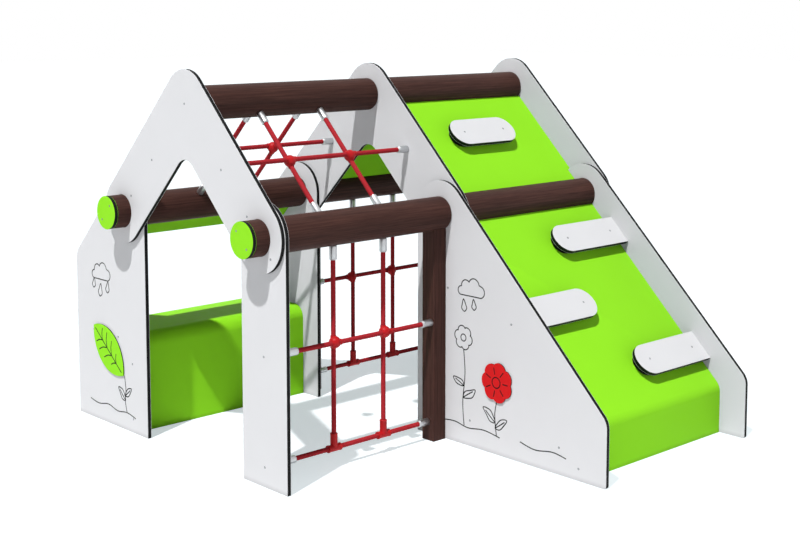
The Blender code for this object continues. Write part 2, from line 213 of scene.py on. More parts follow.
# Glazed pine, turned or planed: an even dark brown glaze lets straight fibre streaks show through
timberLook = {
    "colours": [(0.30, "#301B18"), (0.50, "#482D27"), (0.72, "#5E3D35")],
    "streak": (300.0, 7.0, 3.0), "fibre": (70.0, 1.8, 4.0),  # length and width in mm, and detail
    "patch": 380.0, "patchShade": 0.88,
    "height": 0.00022, "relief": 0.5, "roughness": (0.64, 0.48),
    "apart": (7.3, 7.3, 7.3),  # moves the figure on from one timber to the next
}


def glazedTimber():
    made, tree, local = newMaterial("dark brown glazed pine")
    stand = addNode(tree, "ObjectInfo").outputs["Location"]
    where = addNode(tree, "VectorMath", {"operation": "MULTIPLY_ADD", 1: timberLook["apart"]},
                    {0: stand, 2: local})
    grains = []
    for length, width, detail in (timberLook["streak"], timberLook["fibre"]):
        scale = (perMetre(length), perMetre(width), perMetre(width))
        stretched = addNode(tree, "VectorMath", {"operation": "MULTIPLY", 1: scale}, {0: where})
        grains.append(addNode(tree, "TexNoise", {"Scale": 1.0, "Detail": detail, "Roughness": 0.6},
                              {"Vector": stretched}))
    figure = addNode(tree, "Mix", {"data_type": "FLOAT", 0: 0.4}, {2: grains[0], 3: grains[1]})
    glaze = addNode(tree, "ValToRGB", {"stops": timberLook["colours"]}, {"Fac": figure})
    patch = addNode(tree, "TexNoise", {"Scale": perMetre(timberLook["patch"]), "Detail": 2.0},
                    {"Vector": where})
    stops = [(0.35, dimmed(linear("#FFFFFF"), timberLook["patchShade"])), (0.65, "#FFFFFF")]
    worn = addNode(tree, "ValToRGB", {"stops": stops}, {"Fac": patch})
    colour = addNode(tree, "Mix", {"data_type": "RGBA", "blend_type": "MULTIPLY", 0: 1.0},
                     {6: glaze, 7: worn})
    finishMaterial(tree, timberLook, {"IOR": 1.5, "Specular IOR Level": 0.13},
                   colour, grains[1], figure)
    return made


# Six-strand play rope: polyamide yarn laid round steel-cored strands looks matt, its threads slant
ropeYarn = {"colours": [(0.1, "#9B2229"), (0.6, "#C62F38")], "thrown": "#7A6A6C", "turns": 24.0,
            "run": 5.0, "bands": 0.314, "fuzz": 3.0, "height": 0.0002, "relief": 0.5}


def laidRope():
    made, tree, where = newMaterial("red polyamide rope yarn")
    lay = addNode(tree, "UVMap", {"uv_map": "lay"})
    scale = (ropeYarn["run"], ropeYarn["turns"], 1.0)
    scaled = addNode(tree, "VectorMath", {"operation": "MULTIPLY", 1: scale}, {0: lay})
    yarn = addNode(tree, "TexWave", {"wave_type": "BANDS", "bands_direction": "DIAGONAL",
                                     "Scale": ropeYarn["bands"], "Distortion": 0.6, "Detail": 2.0},
                   {"Vector": scaled})
    fuzz = addNode(tree, "TexNoise", {"Scale": perMetre(ropeYarn["fuzz"]), "Detail": 3.0},
                   {"Vector": where})
    blend = addNode(tree, "Mix", {"data_type": "FLOAT", 0: 0.4}, {2: yarn.outputs["Fac"], 3: fuzz})
    colour = addNode(tree, "ValToRGB", {"stops": ropeYarn["colours"]}, {"Fac": blend})
    finishMaterial(tree, ropeYarn, {"Roughness": 0.78, "Specular IOR Level": 0.15},
                   thrownColour(tree, colour, ropeYarn["thrown"]), relief=blend)
    return made


# Pressed aluminium sleeve: satin bright, with fine rings where it was drawn
sleeveMetal = {"colour": "#C8CACC", "ring": 0.5, "round": 100 / 3, "height": 0.00004, "relief": 0.4,
               "roughness": (0.34, 0.46)}


def pressedAluminium():
    made, tree, where = newMaterial("pressed aluminium")
    across, ring = perMetre(sleeveMetal["round"]), perMetre(sleeveMetal["ring"])
    scale = (across, across, ring)
    rings = addNode(tree, "VectorMath", {"operation": "MULTIPLY", 1: scale}, {0: where})
    drawn = addNode(tree, "TexNoise", {"Scale": 1.0, "Detail": 2.0}, {"Vector": rings})
    finishMaterial(tree, sleeveMetal, {"Base Color": sleeveMetal["colour"], "Metallic": 1.0},
                   grain=drawn, relief=drawn)
    return made


# Stainless screw, A2, cold formed: a soft grey gloss
screwMetal = {"colour": "#8F9296", "grain": 0.6, "roughness": (0.26, 0.42)}


def stainlessSteel():
    made, tree, where = newMaterial("stainless steel screw")
    grain = addNode(tree, "TexNoise", {"Scale": perMetre(screwMetal["grain"]), "Detail": 2.0},
                    {"Vector": where})
    finishMaterial(tree, screwMetal, {"Base Color": screwMetal["colour"], "Metallic": 1.0},
                   grain=grain)
    return made


# Injection-moulded polyamide connectors: even red with a fine spark-eroded grain
mouldedLook = {"colours": [(0.3, "#BE1219"), (0.6, "#CC161D")], "grain": 1.2, "height": 0.00006,
               "relief": 0.3, "roughness": (0.42, 0.54)}


def mouldedPolyamide():
    made, tree, where = newMaterial("red moulded polyamide")
    grain = addNode(tree, "TexNoise", {"Scale": perMetre(mouldedLook["grain"]), "Detail": 2.0},
                    {"Vector": where})
    colour = addNode(tree, "ValToRGB", {"stops": mouldedLook["colours"]}, {"Fac": grain})
    finishMaterial(tree, mouldedLook, {"IOR": 1.53, "Specular IOR Level": 0.25},
                   colour, grain, relief=grain)
    return made


whiteSkin, greenSkin, redSkin = (sheetSkin(shade) for shade in ("white", "green", "red"))
whiteFoot, greenFoot = (sheetSkin(shade, standing=True) for shade in ("white", "green"))
blackCore = milledCore()
timber = glazedTimber()
ropeRed = laidRope()
aluminium = pressedAluminium()
stainless = stainlessSteel()
redPolyamide = mouldedPolyamide()
print("materials made:", len(bpy.data.materials))


# Placing a finished mesh

def place(mesh, materials, matrix=None, nodes=()):
    for material in materials:
        mesh.materials.append(material)
    made = bpy.data.objects.new(mesh.name, mesh)
    bpy.context.scene.collection.objects.link(made)
    if matrix is not None:
        made.matrix_world = matrix
    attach(made, "root")
    if nodes:
        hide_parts(*nodes)
    return made


crease = 35  # degrees from which an edge shows as sharp


def meshFrom(name, verts, faces, indices=None, flat=(), sharp=crease):
    mesh = bpy.data.meshes.new(name)
    mesh.from_pydata([tuple(v) for v in verts], [], faces)
    mesh.shade_smooth()
    mesh.set_sharp_from_angle(angle=math.radians(sharp))
    for i in flat:
        mesh.polygons[i].use_smooth = False
    if indices:
        mesh.polygons.foreach_set("material_index", indices)
    mesh.update()
    return mesh


# Outlines, anticlockwise, in metres

arcStep = math.radians(3)


def polar(radius, angle, centre=(0.0, 0.0)):
    return (centre[0] + radius * math.cos(angle), centre[1] + radius * math.sin(angle))


def arc(centre, radius, start, end):
    steps = max(2, math.ceil(abs(end - start) / arcStep - 1e-6))
    return [polar(radius, start + (end - start) * i / steps, centre) for i in range(steps + 1)]


def circle(centre, radius, clockwise=False, steps=round(math.tau / arcStep)):
    turn = -math.tau if clockwise else math.tau
    return [polar(radius, turn * i / steps, centre) for i in range(steps)]


def mirrored(outline):
    return [(-a, b) for a, b in reversed(outline)]


def rotated(point, degrees):
    c, s = math.cos(math.radians(degrees)), math.sin(math.radians(degrees))
    return (point[0] * c - point[1] * s, point[0] * s + point[1] * c)


def moved(points, a, b, degrees=0.0):
    return [(a + p, b + q) for p, q in (rotated(point, degrees) for point in points)]


def anticlockwise(outline):
    area = sum(a[0] * b[1] - b[0] * a[1] for a, b in zip(outline, outline[1:] + outline[:1]))
    return outline if area > 0 else outline[::-1]


def barOutline(start, end, centre, width, startCorner, endCorner):
    half = width / 2
    outline = []
    ends = ((end, -1, endCorner, -rightAngle), (start, 1, startCorner, rightAngle))
    for x, inward, radius, angle in ends:
        for side in (inward, -inward):
            corner = (x + inward * radius, centre + side * (half - radius))
            outline += arc(corner, radius, angle, angle + rightAngle) if radius else [corner]
            angle += rightAngle
    return outline


# Faces: bands between rings of points, and the triangles that close an end

def band(first, count, stride):  # one loop of a ring joined to the same loop of the next
    pairs = [(first + i, first + (i + 1) % count) for i in range(count)]
    return [(a, b, b + stride, a + stride) for a, b in pairs]


def tube(rings, around):
    return [face for ring in range(rings - 1) for face in band(ring * around, around, around)]


def endCap(rings, first, up):  # every ring after the outer one is a hole
    points = [point for ring in rings for point in ring]
    faces = []
    for a, b, c in tessellate_polygon(rings):
        area = (points[b] - points[a]).cross(points[c] - points[a]).z
        if abs(area) > 1e-14:
            face = (a, b, c) if (area > 0) == up else (c, b, a)
            faces.append(tuple(first + i for i in face))
    return faces


def roundedEdge(edge, steps):  # (rise, inset) pairs of a quarter round
    turns = [i * rightAngle / steps for i in range(steps + 1)]
    return [(edge * (1 - math.cos(a)), edge * (1 - math.sin(a))) for a in turns]


# A sheet cut to an outline: rounded edges, and layers that show round them
sheetCut = {"edgeSteps": 3, "leastMitre": 0.35}


def offsetLoop(loop, inset):  # every corner moves inwards, square to its two edges
    shifted = []
    for i, here in enumerate(loop):
        back, ahead = loop[i - 1], loop[(i + 1) % len(loop)]
        first = Vector((here[1] - back[1], back[0] - here[0])).normalized()
        second = Vector((ahead[1] - here[1], here[0] - ahead[0])).normalized()
        mitre = (first + second) / max(1 + first.dot(second), sheetCut["leastMitre"])
        shifted.append((here[0] - inset * mitre.x, here[1] - inset * mitre.y))
    return shifted


def edgeProfile(thickness, edge, layers):  # (height, inset) pairs from the back face to the front
    back = roundedEdge(edge, sheetCut["edgeSteps"])
    front = [(thickness - rise, inset) for rise, inset in reversed(back)]
    return back + [(top, 0.0) for top, index in layers[:-1]] + front


def cutSheet(name, loops, thickness, edge, layers, start=0.0):
    # Layers are (top height, material index) pairs from the back face up
    profile = edgeProfile(thickness, edge, layers)
    rings = [[offsetLoop(loop, inset) for loop in loops] for height, inset in profile]
    verts = [(a, b, start + height) for ring, (height, inset) in zip(rings, profile)
             for loop in ring for a, b in loop]
    ringSize = sum(len(loop) for loop in loops)
    faces, indices = [], []
    for level in range(len(profile) - 1):
        centre = (profile[level][0] + profile[level + 1][0]) / 2
        first = level * ringSize
        for loop in loops:
            faces += band(first, len(loop), ringSize)
            first += len(loop)
        indices += [next(i for top, i in layers if centre <= top + 1e-9)] * ringSize
    sides = len(faces)
    for level, layer, up in ((0, layers[0], False), (len(profile) - 1, layers[-1], True)):
        flatRings = [[Vector((a, b, 0)) for a, b in loop] for loop in rings[level]]
        cap = endCap(flatRings, level * ringSize, up)
        faces += cap
        indices += [layer[1]] * len(cap)
    return meshFrom(name, verts, faces, indices, range(sides, len(faces)))


# Boards: white skins on a black core, routed with a small round
boardLook = {"edge": 0.0008, "skin": 0.0015, "apexFillet": 0.070, "corner": 0.070, "toe": 0.011}


def boardMatrix(x):  # outline in y and z, thickness along +x
    return Matrix(((0, 0, 1, x), (1, 0, 0, house["centreY"]), (0, 1, 0, 0), (0, 0, 0, 1)))


def gableOutline():
    radius, fillet = house["boardRound"], boardLook["apexFillet"]
    inner = (0.0, house["ridgeZ"] - (radius + fillet) / math.cos(pitch))
    foot = arc((house["eaveOffset"], house["eaveZ"]), radius, -rightAngle - pitch,
               rightAngle - pitch)
    head = arc((0.0, house["ridgeZ"]), radius, rightAngle - pitch, rightAngle + pitch)
    inside = arc(inner, fillet, rightAngle + pitch, rightAngle - pitch)
    return foot + head + mirrored(foot) + inside


def legOutline():
    eave, radius = house["eaveOffset"], house["boardRound"]
    head = arc((eave, house["eaveZ"]), radius, 0.0, math.pi)
    return head + [(eave - radius, 0.0), (eave + radius, 0.0)]


def panelOutline(reach, toe):
    eave, radius, corner = house["eaveOffset"], house["boardRound"], boardLook["corner"]
    inset = radius - corner - math.sin(pitch) * (reach - corner - eave)
    shoulder = (reach - corner, house["eaveZ"] + inset / math.cos(pitch))
    head = arc((eave, house["eaveZ"]), radius, rightAngle - pitch, math.pi)
    foot = arc((reach - toe, toe), toe, -rightAngle, 0.0) if toe else [(reach, 0.0)]
    return head + [(eave - radius, 0.0)] + foot + arc(shoulder, corner, 0.0, rightAngle - pitch)


def makeBoards():
    thickness, skin = house["board"], boardLook["skin"]
    layers = [(skin, 0), (thickness - skin, 1), (thickness, 0)]
    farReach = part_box("front_far_panel")[1].y - house["centreY"]
    rampReach = house["centreY"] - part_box("middle_ramp_panel")[0].y
    gable, leg = gableOutline(), legOutline()
    benchPanel = panelOutline(farReach, 0.0)
    rampPanel = mirrored(panelOutline(rampReach, boardLook["toe"]))
    boards = {  # outline, and the sides where a log passes through
        "front_gable": (gable, (near, far)), "front_near_leg": (mirrored(leg), (near,)),
        "front_far_panel": (benchPanel, (far,)), "middle_ramp_panel": (rampPanel, ()),
        "middle_far_panel": (benchPanel, ()), "middle_gable": (gable, ()),
        "rear_ramp_panel": (rampPanel, (near,)), "rear_far_leg": (leg, (far,)),
        "rear_gable": (gable, (near, far)),
    }
    for node, (outline, sides) in boards.items():
        holes = [circle((side * house["eaveOffset"], house["eaveZ"]), logClear, clockwise=True)
                 for side in sides]
        mesh = cutSheet(node + "_board", [outline] + holes, thickness, boardLook["edge"], layers)
        place(mesh, [whiteFoot, blackCore], boardMatrix(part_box(node)[0].x), [node])
    print("boards made:", len(boards))


# Green sheets: one colour all through, bent where the ramp and the bench turn
greenLook = {"edge": 0.0020, "rampBend": 0.060, "benchBend": 0.060}


def bentOutline(start, centre, radius, first, last, end):
    # The middle line runs straight from start, bends round the centre and runs straight to the end
    half = house["board"] / 2
    path = [start]
    for point in arc(centre, radius, first, last):
        path.append((point, ((point[0] - centre[0]) / radius, (point[1] - centre[1]) / radius)))
    path.append(end)
    upper = [(p[0] + half * n[0], p[1] + half * n[1]) for p, n in path]
    lower = [(p[0] - half * n[0], p[1] - half * n[1]) for p, n in path]
    return anticlockwise(upper + lower[::-1])


def rampOutline():
    thickness = house["board"]
    bend = greenLook["rampBend"] - thickness / 2
    upright = house["centreY"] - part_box("ramp_sheet")[0].y - thickness / 2
    centre = (upright - bend, house["ridgeZ"] - (upright - bend) * math.tan(pitch)
              - bend / math.cos(pitch))
    top = slopeLength + logClear
    start = (top * math.cos(pitch), house["ridgeZ"] - top * math.sin(pitch))
    return mirrored(bentOutline((start, (math.sin(pitch), math.cos(pitch))), centre, bend,
                                rightAngle - pitch, 0.0, ((upright, 0.0), (1.0, 0.0))))


def benchOutline():
    thickness = house["board"]
    bend = greenLook["benchBend"] - thickness / 2
    low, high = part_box("bench_sheet")
    upright, level = low.y - house["centreY"] + thickness / 2, high.z - thickness / 2
    return bentOutline(((upright, 0.0), (-1.0, 0.0)), (upright + bend, level - bend), bend,
                       math.pi, rightAngle, ((high.y - house["centreY"], level), (0.0, 1.0)))


def slopeSheet(name, node, side, plan):  # plan: (x, distance down the slope) corners
    thickness = house["board"]
    outline = anticlockwise([(x, side * distance) for x, distance in plan])
    mesh = cutSheet(name, [outline], thickness, greenLook["edge"], [(thickness, 0)], -thickness / 2)
    place(mesh, [greenSkin], slopeMatrix(side), [node])


def makeSheets():
    top, bottom = logClear, slopeLength - logClear
    notch = slopeLength - house["boardRound"] - house["gap"]
    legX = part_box("rear_far_leg")[0].x - house["gap"]
    for node, side in (("climbing_sheet", near), ("far_roof_sheet", far)):
        low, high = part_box(node)
        slopeSheet(node + "_panel", node, side, [(low.x, top), (high.x, top), (high.x, notch),
                                                 (legX, notch), (legX, bottom), (low.x, bottom)])
    low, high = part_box("awning_sheet")
    first = slopeLength + logClear
    last = first + (high.z - low.z) / math.sin(pitch) - house["board"]
    slopeSheet("awning_panel", "awning_sheet", far,
               [(low.x, first), (high.x, first), (high.x, last), (low.x, last)])
    for node, outline in (("ramp_sheet", rampOutline()), ("bench_sheet", benchOutline())):
        low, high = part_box(node)
        mesh = cutSheet(node + "_bent", [outline], high.x - low.x, greenLook["edge"],
                        [(high.x - low.x, 0)])
        bent = place(mesh, [greenFoot], boardMatrix(low.x), [node])
        if node == "ramp_sheet":
            clearGableFoot(bent)
    print("sheets made: 5")


def clearGableFoot(ramp):  # the middle gable's foot stands in the ramp's corner
    reach = house["boardRound"] + house["gap"]
    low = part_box("ramp_sheet")[0].x
    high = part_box("middle_gable")[1].x + house["gap"]
    cutter = bmesh.new()
    bmesh.ops.create_cube(cutter, size=1.0)
    bmesh.ops.scale(cutter, verts=cutter.verts, vec=(2 * (high - low), 2 * reach, 2 * reach))
    bmesh.ops.translate(cutter, verts=cutter.verts, vec=(low, -slopeLength, 0))
    cutter.transform(slopeMatrix(near))
    applyBoolean(ramp, cutter, "DIFFERENCE")


def applyBoolean(target, toolShape, operation):
    # Cuts or joins with a closed shape given in the row frame, and keeps the result as plain mesh
    toolMesh = bpy.data.meshes.new("tool")
    toolShape.transform(target.matrix_world.inverted())
    toolShape.to_mesh(toolMesh)
    toolShape.free()
    tool = bpy.data.objects.new("tool", toolMesh)
    bpy.context.scene.collection.objects.link(tool)
    tool.matrix_world = target.matrix_world
    change = target.modifiers.new("change", "BOOLEAN")
    change.operation = operation
    change.solver = "EXACT"
    change.object = tool
    bpy.context.view_layer.update()
    graph = bpy.context.evaluated_depsgraph_get()
    result = bpy.data.meshes.new_from_object(target.evaluated_get(graph))
    target.modifiers.clear()
    target.data = result
    bpy.data.objects.remove(tool, do_unlink=True)


# Holds: white boards on narrower blocks of the same board, screwed to the slope
holdLook = {"edge": 0.0008, "skin": 0.0014, "plate": 0.018, "spacer": 0.025, "blockSkin": 0.0012,
            "rounded": {"upper": (True, True), "second": (True, False),  # front end, rear end
                        "third": (False, True), "fourth": (True, False)}}


def holdPlace(name):  # middle of a hold down the slope, and its width
    spot = slopeMatrix(near).inverted() @ middle(name + "_hold")
    width = (extent(name + "_hold").y - holdLook["plate"] * math.sin(pitch)) / math.cos(pitch)
    return -spot.y, width


def makeHolds():
    skin, plate, spacer = holdLook["skin"], holdLook["plate"], holdLook["spacer"]
    spacerBase = house["board"] / 2 + house["gap"]
    plateBase = spacerBase + spacer + house["gap"]
    for name, rounded in holdLook["rounded"].items():
        distance, width = holdPlace(name)
        low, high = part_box(name + "_hold")
        innerLow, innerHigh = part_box(name + "_hold_spacer")
        inset = (innerLow.x - low.x) if rounded[0] else (high.x - innerHigh.x)
        corners = [width / 2 if isRound else 0.0 for isRound in rounded]
        innerCorners = [max(corner - inset, 0.0) for corner in corners]
        outline = barOutline(low.x, high.x, -distance, width, *corners)
        block = barOutline(innerLow.x, innerHigh.x, -distance, width - 2 * inset, *innerCorners)
        layers = [(skin, 0), (plate - skin, 1), (plate, 0)]
        mesh = cutSheet(name + "_hold_plate", [outline], plate, holdLook["edge"], layers, plateBase)
        place(mesh, [whiteSkin, blackCore], slopeMatrix(near), [name + "_hold"])
        layers = [(spacer - holdLook["blockSkin"], 1), (spacer, 0)]
        mesh = cutSheet(name + "_hold_block", [block], spacer, holdLook["edge"] / 2, layers,
                        spacerBase)
        place(mesh, [whiteSkin, blackCore], slopeMatrix(near),
              [name + "_hold_spacer"])
    print("holds made:", len(holdLook["rounded"]))


# Log caps: discs of green board, face outwards
capLook = {"thickness": 0.0171, "edge": 0.0008, "skin": 0.0014, "backSkin": 0.0012,
           "screwOffset": 0.031,
           "caps": {"front_near_log_cap": (-1, 1), "front_far_log_cap": (-1, -1),  # outwards, and
                    "rear_near_log_cap": (1, 1), "rear_far_log_cap": (1, -1)}}  # its screws' lean


def makeCaps():
    thickness = capLook["thickness"]
    layers = [(capLook["backSkin"], 0), (thickness - capLook["skin"], 1), (thickness, 0)]
    for node, (outward, lean) in capLook["caps"].items():
        low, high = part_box(node)
        centre = middle(node)
        disc = circle((0, 0), (high.z - low.z) / 2)
        mesh = cutSheet(node + "_disc", [disc], thickness, capLook["edge"], layers)
        inner = Matrix.Translation((high.x if outward < 0 else low.x, centre.y, centre.z))
        matrix = inner @ Matrix.Rotation(outward * rightAngle, 4, "Y")
        place(mesh, [greenSkin, blackCore], matrix, [node])
    print("caps made:", len(capLook["caps"]))


# Timber: turned logs and planed posts, their long axis along local x
logLook = {"around": 96, "step": 0.020, "endRound": 0.006, "endSteps": 4, "wave": 0.0005,
           "fibre": 0.00018, "waveScale": (5, 1.2), "fibreScale": (4, 22),  # along and round it
           "seedStep": 3.7, "turn": 1.9, "sharp": 50}
postLook = {"edge": 0.003, "step": 0.030, "fibre": 0.00015, "fibreScale": (4, 300), "arris": 6,
            "sideSteps": 9, "seedStep": 5.3, "sharp": 50}


def wear(h, y, z, scale, seed):  # 0 to 1
    return 0.5 + 0.5 * noise.noise(Vector((h * scale[0] + seed, y * scale[1], z * scale[1])))


def logMesh(name, radius, length, seed):
    around, edge = logLook["around"], logLook["endRound"]
    end = [(rise, radius - inset) for rise, inset in roundedEdge(edge, logLook["endSteps"])]
    steps = round((length - 2 * edge) / logLook["step"])
    rows = end + [(edge + (length - 2 * edge) * i / steps, radius) for i in range(1, steps)]
    rows += [(length - h, r) for h, r in reversed(end)]
    verts = []
    for h, r in rows:
        for c, s in circle((0.0, 0.0), 1.0, steps=around):
            worn = r - logLook["wave"] * wear(h, c, s, logLook["waveScale"], seed)
            worn -= logLook["fibre"] * wear(h, c, s, logLook["fibreScale"], seed)
            verts.append((h, worn * c, worn * s))
    faces = tube(len(rows), around)
    for first, h, flip in ((0, 0.0, True), ((len(rows) - 1) * around, length, False)):
        centre = len(verts)
        verts.append((h, 0.0, 0.0))
        for i in range(around):
            a, b = first + i, first + (i + 1) % around
            faces.append((b, a, centre) if flip else (a, b, centre))
    return meshFrom(name, verts, faces, sharp=logLook["sharp"])


def makeLogs():
    logs = sorted(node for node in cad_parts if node.endswith("_log"))
    for number, node in enumerate(logs):  # each log has its own wear and its own turn
        low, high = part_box(node)
        centre = middle(node)
        mesh = logMesh(node + "_timber", (high.z - low.z) / 2, high.x - low.x,
                       number * logLook["seedStep"])
        turn = Matrix.Rotation(number * logLook["turn"], 4, "X")
        matrix = Matrix.Translation((low.x, centre.y, centre.z)) @ turn
        place(mesh, [timber], matrix, [node])
    print("logs made:", len(logs))


def postSection(width):  # rounded corners, and points between for the wear
    half, edge, arris, steps = width / 2, postLook["edge"], postLook["arris"], postLook["sideSteps"]
    side = 2 * (half - edge)
    section = []
    for turn, (y, z) in enumerate(((1, 1), (-1, 1), (-1, -1), (1, -1))):
        corner = (y * (half - edge), z * (half - edge))
        section += [polar(edge, (turn + i / arris) * rightAngle, corner) for i in range(arris + 1)]
        lastY, lastZ = section[-1]
        alongY, alongZ = ((-1, 0), (0, -1), (1, 0), (0, 1))[turn]
        section += [(lastY + alongY * side * i / steps, lastZ + alongZ * side * i / steps)
                    for i in range(1, steps)]
    return section


def postMesh(name, width, height, seed):
    # Square bar standing on local x = 0; its top follows the round underside of the log
    section = postSection(width)
    count = len(section)
    steps = round(height / postLook["step"])
    verts = []
    for level in range(steps + 1):
        for y, z in section:
            h = (height - math.sqrt(logClear ** 2 - y ** 2)) * level / steps
            worn = 1 - postLook["fibre"] * wear(h, y, z, postLook["fibreScale"], seed) / (width / 2)
            verts.append((h, y * worn, z * worn))
    faces = tube(steps + 1, count)
    sides = len(faces)
    faces.append(tuple(reversed(range(count))))
    rim = [Vector((y, z, 0)) for h, y, z in verts[steps * count:]]
    faces += endCap([rim], steps * count, True)
    return meshFrom(name, verts, faces, flat=range(sides, len(faces)), sharp=postLook["sharp"])


def makePosts():
    posts = sorted(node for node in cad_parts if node.endswith("_post"))
    for number, node in enumerate(posts):
        centre = middle(node)
        # Local x up, local y across the house, local z along it
        upright = Matrix(((0, 0, -1, centre.x), (0, 1, 0, centre.y), (1, 0, 0, 0), (0, 0, 0, 1)))
        mesh = postMesh(node + "_timber", extent(node).y, house["eaveZ"],
                        number * postLook["seedStep"])
        place(mesh, [timber], upright, [node])
    print("posts made:", len(posts))


# Turned pieces: (height, radius) pairs round local z

def turnedMesh(name, profile, around):
    verts = [(a, b, h) for h, r in profile for a, b in circle((0.0, 0.0), r, steps=around)]
    faces = tube(len(profile), around)
    faces.append(tuple(reversed(range(around))))
    faces.append(tuple(range(len(verts) - around, len(verts))))
    return meshFrom(name, verts, faces, flat=(len(faces) - 2, len(faces) - 1))


def bothWays(side):  # a profile that is the same on both sides of height 0
    return [(-h, r) for h, r in reversed(side)] + side


def along(start, end):  # matrix that stands local z on start, pointing at end
    turn = (end - start).to_track_quat("Z", "Y").to_matrix().to_4x4()
    return Matrix.Translation(start) @ turn


# Rope nets
ropeLook = {
    "radius": 0.0099, "strands": 6, "pitch": 0.100, "valley": 0.10, "perStrand": 6, "step": 0.0045,
    "clearance": 0.0002, "boreAround": 36, "sharp": 80,
    "turns": {"low": 0.4, "cross": 1.3, "upright": 1.1, "roofCross": 0.9, "slope": 0.7},  # radians
}
sleeveLook = {"radius": 0.0149, "length": 0.056, "taper": 0.003, "chamfer": 0.0012, "around": 48,
              "groove": 0.00315, "grooveDepth": 0.0006, "grooveFloor": 0.0010,
              "grooveMouth": 0.0016, "lipDepth": 0.0012, "lipRound": 0.0008,
              "mouth": (0.0022, 0.0014, -0.0006)}  # over the rope's radius
ballLook = {"radius": 0.0241, "around": 48, "rings": 28, "collar": 0.0122, "collarReach": 0.0254,
            "collarRound": 0.0018, "collarAround": 36, "bore": 0.04}
teeLook = {"neckTop": 0.060, "neck": 0.0147, "bead": 0.0154, "rim": 0.005, "lip": 0.0008,
           "length": 0.065, "waist": 0.0142, "flange": 0.0055, "slant": 0.0015, "ropeEnd": 0.004,
           "around": 44, "bore": 0.05}


def ropeMesh(name, length, phase):
    radius, perStrand = ropeLook["radius"], ropeLook["perStrand"]
    around = ropeLook["strands"] * perStrand
    steps = math.ceil(length / ropeLook["step"])
    verts, lay = [], []
    for level in range(steps + 1):
        h = length * level / steps
        twist = math.tau * h / ropeLook["pitch"] + phase
        for i in range(around):
            across = (i % perStrand) / perStrand * 2 - 1
            dip = ropeLook["valley"] * (1 - math.sqrt(1 - across * across * 0.96))
            verts.append(polar(radius * (1 - dip), math.tau * i / around + twist) + (h,))
    for level in range(steps):
        low, high = level / steps * length / radius, (level + 1) / steps * length / radius
        for i in range(around):
            lay += [(low, i / around), (low, (i + 1) / around), (high, (i + 1) / around),
                    (high, i / around)]
    faces = tube(steps + 1, around)
    faces += [tuple(reversed(range(around))), tuple(range(steps * around, (steps + 1) * around))]
    lay += [(0.0, i / around) for i in range(around)] * 2
    mesh = meshFrom(name, verts, faces, sharp=ropeLook["sharp"])
    layer = mesh.uv_layers.new(name="lay")
    layer.data.foreach_set("uv", [value for pair in lay for value in pair])
    return mesh


def sleeveMesh(name):  # pressed end sleeve, its mouth for the rope at the top
    look, rope = sleeveLook, ropeLook["radius"]
    r, length, chamfer, taper = look["radius"], look["length"], look["chamfer"], look["taper"]
    groove, floor, mouth = length - taper - look["groove"], look["grooveFloor"], look["grooveMouth"]
    profile = [(0.0, r - chamfer), (chamfer * 0.4, r - chamfer * 0.4), (chamfer, r),
               (groove - mouth, r), (groove - floor, r - look["grooveDepth"]),
               (groove + floor, r - look["grooveDepth"]), (groove + mouth, r), (length - taper, r),
               (length - taper * 0.6, r - look["lipDepth"]),
               (length - look["lipRound"], rope + look["mouth"][0]),
               (length, rope + look["mouth"][1]), (length, rope + look["mouth"][2])]
    return turnedMesh(name, profile, look["around"])


thinPieces = []  # ropes above the lowest, and the sleeves


def fitSleeve(name, start, end):
    thinPieces.append(place(sleeveMesh(name), [aluminium], along(start, end)))


def fitRope(node, start, end, phase, lastSleeve=True):
    direction = (end - start).normalized()
    mesh = ropeMesh(node + "_rope", (end - start).length, phase)
    made = place(mesh, [ropeRed], along(start, end), [node])
    if "low" not in node:
        thinPieces.append(made)
    fitSleeve(node + "_sleeve_a", start, start + direction)
    if lastSleeve:
        fitSleeve(node + "_sleeve_b", end, end - direction)


def fitCrossing(node, phase):  # a rope that runs along the house
    low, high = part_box(node)
    axis = middle(node)
    fitRope(node, Vector((low.x, axis.y, axis.z)), Vector((high.x, axis.y, axis.z)), phase)
    return axis


def turnedTool(profile, around, point, direction):  # closed shape on an axis, to join or cut with
    shape = bmesh.new()
    mesh = turnedMesh("tool", profile, around)
    shape.from_mesh(mesh)
    bpy.data.meshes.remove(mesh)
    shape.transform(along(point, point + direction))
    return shape


def joinAndBore(made, profile, around, boreReach, axes):
    # A turned arm joins the connector on every axis, and then each rope gets its hole through it
    bore = ropeLook["radius"] + ropeLook["clearance"]
    for point, direction in axes:
        applyBoolean(made, turnedTool(profile, around, point, direction), "UNION")
    for point, direction in axes:
        hole = [(-boreReach, bore), (boreReach, bore)]
        applyBoolean(made, turnedTool(hole, ropeLook["boreAround"], point, direction), "DIFFERENCE")
    made.data.set_sharp_from_angle(angle=math.radians(crease))


def fitBall(node, firstAxis, secondAxis):  # each axis: a point on the rope and its direction
    look, rings = ballLook, ballLook["rings"]
    centre = (firstAxis[0] + secondAxis[0]) / 2
    angles = [math.pi * (i + 0.5) / rings for i in range(rings)]
    profile = [(-look["radius"] * math.cos(a), look["radius"] * math.sin(a)) for a in angles]
    made = place(turnedMesh(node + "_clamp", profile, look["around"]), [redPolyamide],
                 along(centre, centre + (secondAxis[0] - firstAxis[0])), [node])
    edge = reversed(roundedEdge(look["collarRound"], 3))
    collar = bothWays([(look["collarReach"] - rise, look["collar"] - inset)
                       for rise, inset in edge])
    joinAndBore(made, collar, look["collarAround"], look["bore"], (firstAxis, secondAxis))


